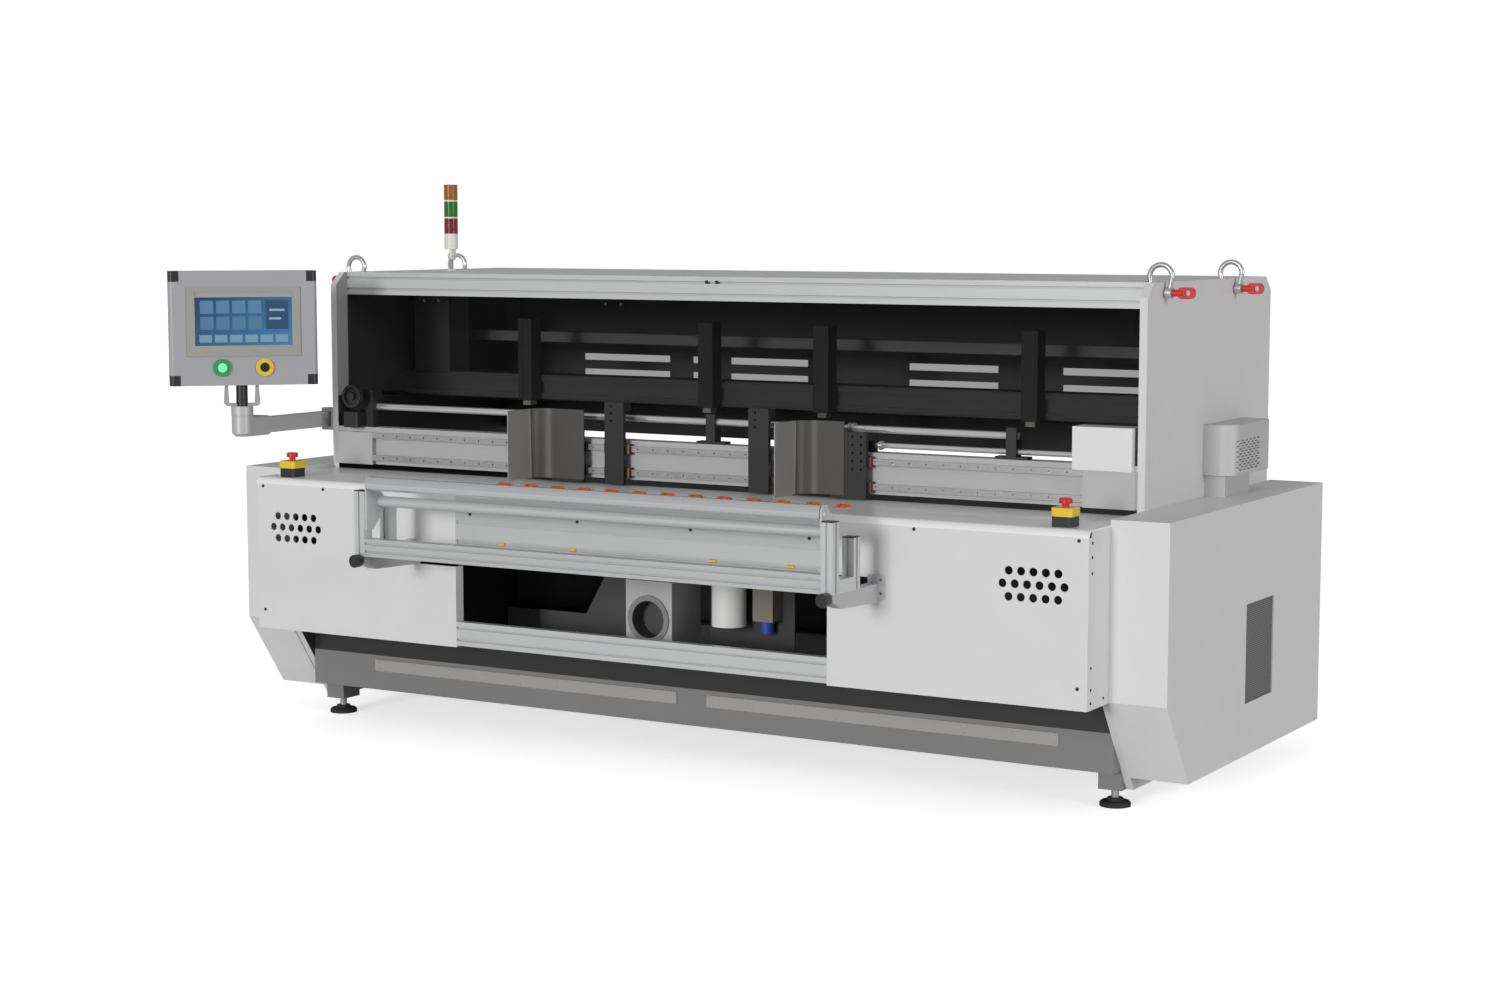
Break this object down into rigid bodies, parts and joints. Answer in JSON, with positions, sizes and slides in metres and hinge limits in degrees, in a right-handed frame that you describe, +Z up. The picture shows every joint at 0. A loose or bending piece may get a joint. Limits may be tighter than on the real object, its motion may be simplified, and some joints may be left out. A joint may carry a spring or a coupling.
{
  "type": "box making machine",
  "caption": "Free-standing machine that creases, slots and cuts corrugated board into box blanks, fed by hand from a front table.",
  "frame": {"origin": "on the floor, at the centre of the base's footprint (front covers to rear of the end housings, end to end)", "axes": "+X along the machine to the right as the operator sees it, +Y from the operator's side to the rear, +Z up"},
  "size_m": [3.5587, 1.858, 1.902],
  "materials": {
    "white_paint": "semi-gloss powder coat",
    "pale_paint": "satin paint",
    "grey_paint": "satin paint",
    "beige_paint": "satin paint",
    "black_paint": "satin black",
    "red_paint": "gloss paint",
    "black_rubber": "matt rubber",
    "orange_rubber": "polyurethane tread",
    "aluminium": "anodised",
    "steel": "ground steel",
    "stainless": "brushed stainless",
    "galvanised": "galvanised",
    "chrome": "hard chromed",
    "cast_metal": "cast and blasted",
    "tinted_glass": "grey tinted",
    "black_plastic": "matt moulded",
    "cream_plastic": "moulded",
    "lens_plastic": "translucent lenses in red, green and orange",
    "yellow_plastic": "moulded",
    "red_plastic": "moulded",
    "green_plastic": "lit button"
  },
  "bodies": {
    "frame": {"centre_panel": "white_paint", "chassis": "grey_paint", "chassis_strips": "beige_paint", "clamp_knobs": "black_plastic", "drive_cover": "white_paint", "drive_shafts": "chrome", "end_grille": "black_plastic", "end_housing_left": "white_paint", "end_housing_right": "white_paint", "fan_box": "white_paint", "feed_beam": "white_paint", "feed_rails": "steel", "front_cover_left": "white_paint", "front_cover_right": "white_paint", "front_window": "tinted_glass", "gear_unit": "black_paint", "infeed_brackets": "cast_metal", "infeed_frame": "aluminium", "inner_units": "white_paint", "lamp_foot": "black_plastic", "levelling_feet": "black_rubber", "lower_front_beam": "aluminium", "panel_bracket": "cast_metal", "rear_cover": "white_paint", "rear_wall": "pale_paint", "roller_frame": "stainless", "shackle_pins": "red_paint", "shaft_blocks": "black_paint", "side_plates": "white_paint", "stop_boxes": "yellow_plastic", "table_top": "pale_paint", "tool_beams": "pale_paint", "tool_heads": "grey_paint", "top_cover": "white_paint", "top_front_beam": "aluminium"},
    "panel_arm": {"panel_arm": "cast_metal"},
    "panel": {"panel_housing": "pale_paint", "panel_corners": "black_plastic", "panel_screen": "cream_plastic", "control_rings": "yellow_plastic"},
    "start_button": {"start_button": "green_plastic"},
    "key_switch": {"key_switch": "black_plastic"},
    "lamp": {"lamp_column": "cream_plastic", "lamp_lenses": "lens_plastic"},
    "guide_left": {"guide_left": "stainless", "guide_carriage_left": "black_paint"},
    "guide_right": {"guide_right": "stainless", "guide_carriage_right": "black_paint"},
    "carriage_left": {"carriage_left": "black_paint"},
    "carriage_right": {"carriage_right": "black_paint"},
    "infeed_roller": {"infeed_roller": "stainless"},
    "feed_wheels": {"feed_wheels": "orange_rubber", "feed_shaft": "steel"},
    "hand_wheel": {"hand_wheel": "black_plastic"},
    "stop_left": {"stop_button_left": "red_plastic"},
    "stop_right": {"stop_button_right": "red_plastic"},
    "shackle_left_front": {"shackle_left_front": "galvanised"},
    "shackle_left_rear": {"shackle_left_rear": "galvanised"},
    "shackle_right_front": {"shackle_right_front": "galvanised"},
    "shackle_right_rear": {"shackle_right_rear": "galvanised"}
  },
  "joints": [
    {"name": "panel_arm_swing", "type": "hinge", "parent": "frame", "child": "panel_arm", "pos_m": [-1.611, -0.32, 1.057], "axis": [0, 0, -1], "range_deg": [0, 100]},
    {"name": "panel_swivel", "type": "hinge", "parent": "panel_arm", "child": "panel", "pos_m": [-1.611, -0.778, 1.12], "axis": [0, 0, 1], "range_deg": [-45, 45]},
    {"name": "start_press", "type": "slide", "parent": "panel", "child": "start_button", "axis": [-0.7071, 0.7071, 0], "range_m": [0, 0.004], "stiffness_N_per_m": 300, "springref_m": -0.002},
    {"name": "key_turn", "type": "hinge", "parent": "panel", "child": "key_switch", "pos_m": [-1.52473, -0.75537, 1.266], "axis": [0.7071, -0.7071, 0], "range_deg": [0, 90]},
    {"name": "lamp_fold", "type": "hinge", "parent": "frame", "child": "lamp", "pos_m": [-1.374, 0.125, 1.638], "axis": [-1, 0, 0], "range_deg": [0, 90]},
    {"name": "guide_left_slide", "type": "slide", "parent": "frame", "child": "guide_left", "axis": [1, 0, 0], "range_m": [-0.69, 0.04]},
    {"name": "guide_right_slide", "type": "slide", "parent": "frame", "child": "guide_right", "axis": [1, 0, 0], "range_m": [-0.03, 0.65]},
    {"name": "carriage_left_slide", "type": "slide", "parent": "frame", "child": "carriage_left", "axis": [1, 0, 0], "range_m": [-0.02, 0.21]},
    {"name": "carriage_right_slide", "type": "slide", "parent": "frame", "child": "carriage_right", "axis": [1, 0, 0], "range_m": [-0.19, 0.06]},
    {"name": "infeed_roller_turn", "type": "hinge", "parent": "frame", "child": "infeed_roller", "pos_m": [0, -1.04, 0.921], "axis": [1, 0, 0], "continuous": true},
    {"name": "feed_wheels_turn", "type": "hinge", "parent": "frame", "child": "feed_wheels", "pos_m": [0, -0.565, 0.853], "axis": [1, 0, 0], "continuous": true},
    {"name": "hand_wheel_turn", "type": "hinge", "parent": "frame", "child": "hand_wheel", "pos_m": [-1.44, -0.38, 1.147], "axis": [0, 1, 0], "continuous": true},
    {"name": "stop_left_press", "type": "slide", "parent": "frame", "child": "stop_left", "axis": [0, 0, -1], "range_m": [0, 0.004]},
    {"name": "stop_right_press", "type": "slide", "parent": "frame", "child": "stop_right", "axis": [0, 0, -1], "range_m": [0, 0.004]},
    {"name": "shackle_left_front_swing", "type": "hinge", "parent": "frame", "child": "shackle_left_front", "pos_m": [-1.5525, -0.215, 1.553], "axis": [1, 0, 0], "range_deg": [-50, 25]},
    {"name": "shackle_left_rear_swing", "type": "hinge", "parent": "frame", "child": "shackle_left_rear", "pos_m": [-1.5525, 0.39, 1.553], "axis": [1, 0, 0], "range_deg": [-50, 50]},
    {"name": "shackle_right_front_swing", "type": "hinge", "parent": "frame", "child": "shackle_right_front", "pos_m": [1.5525, -0.215, 1.553], "axis": [1, 0, 0], "range_deg": [-50, 25]},
    {"name": "shackle_right_rear_swing", "type": "hinge", "parent": "frame", "child": "shackle_right_rear", "pos_m": [1.5525, 0.39, 1.553], "axis": [1, 0, 0], "range_deg": [-50, 50]}
  ]
}
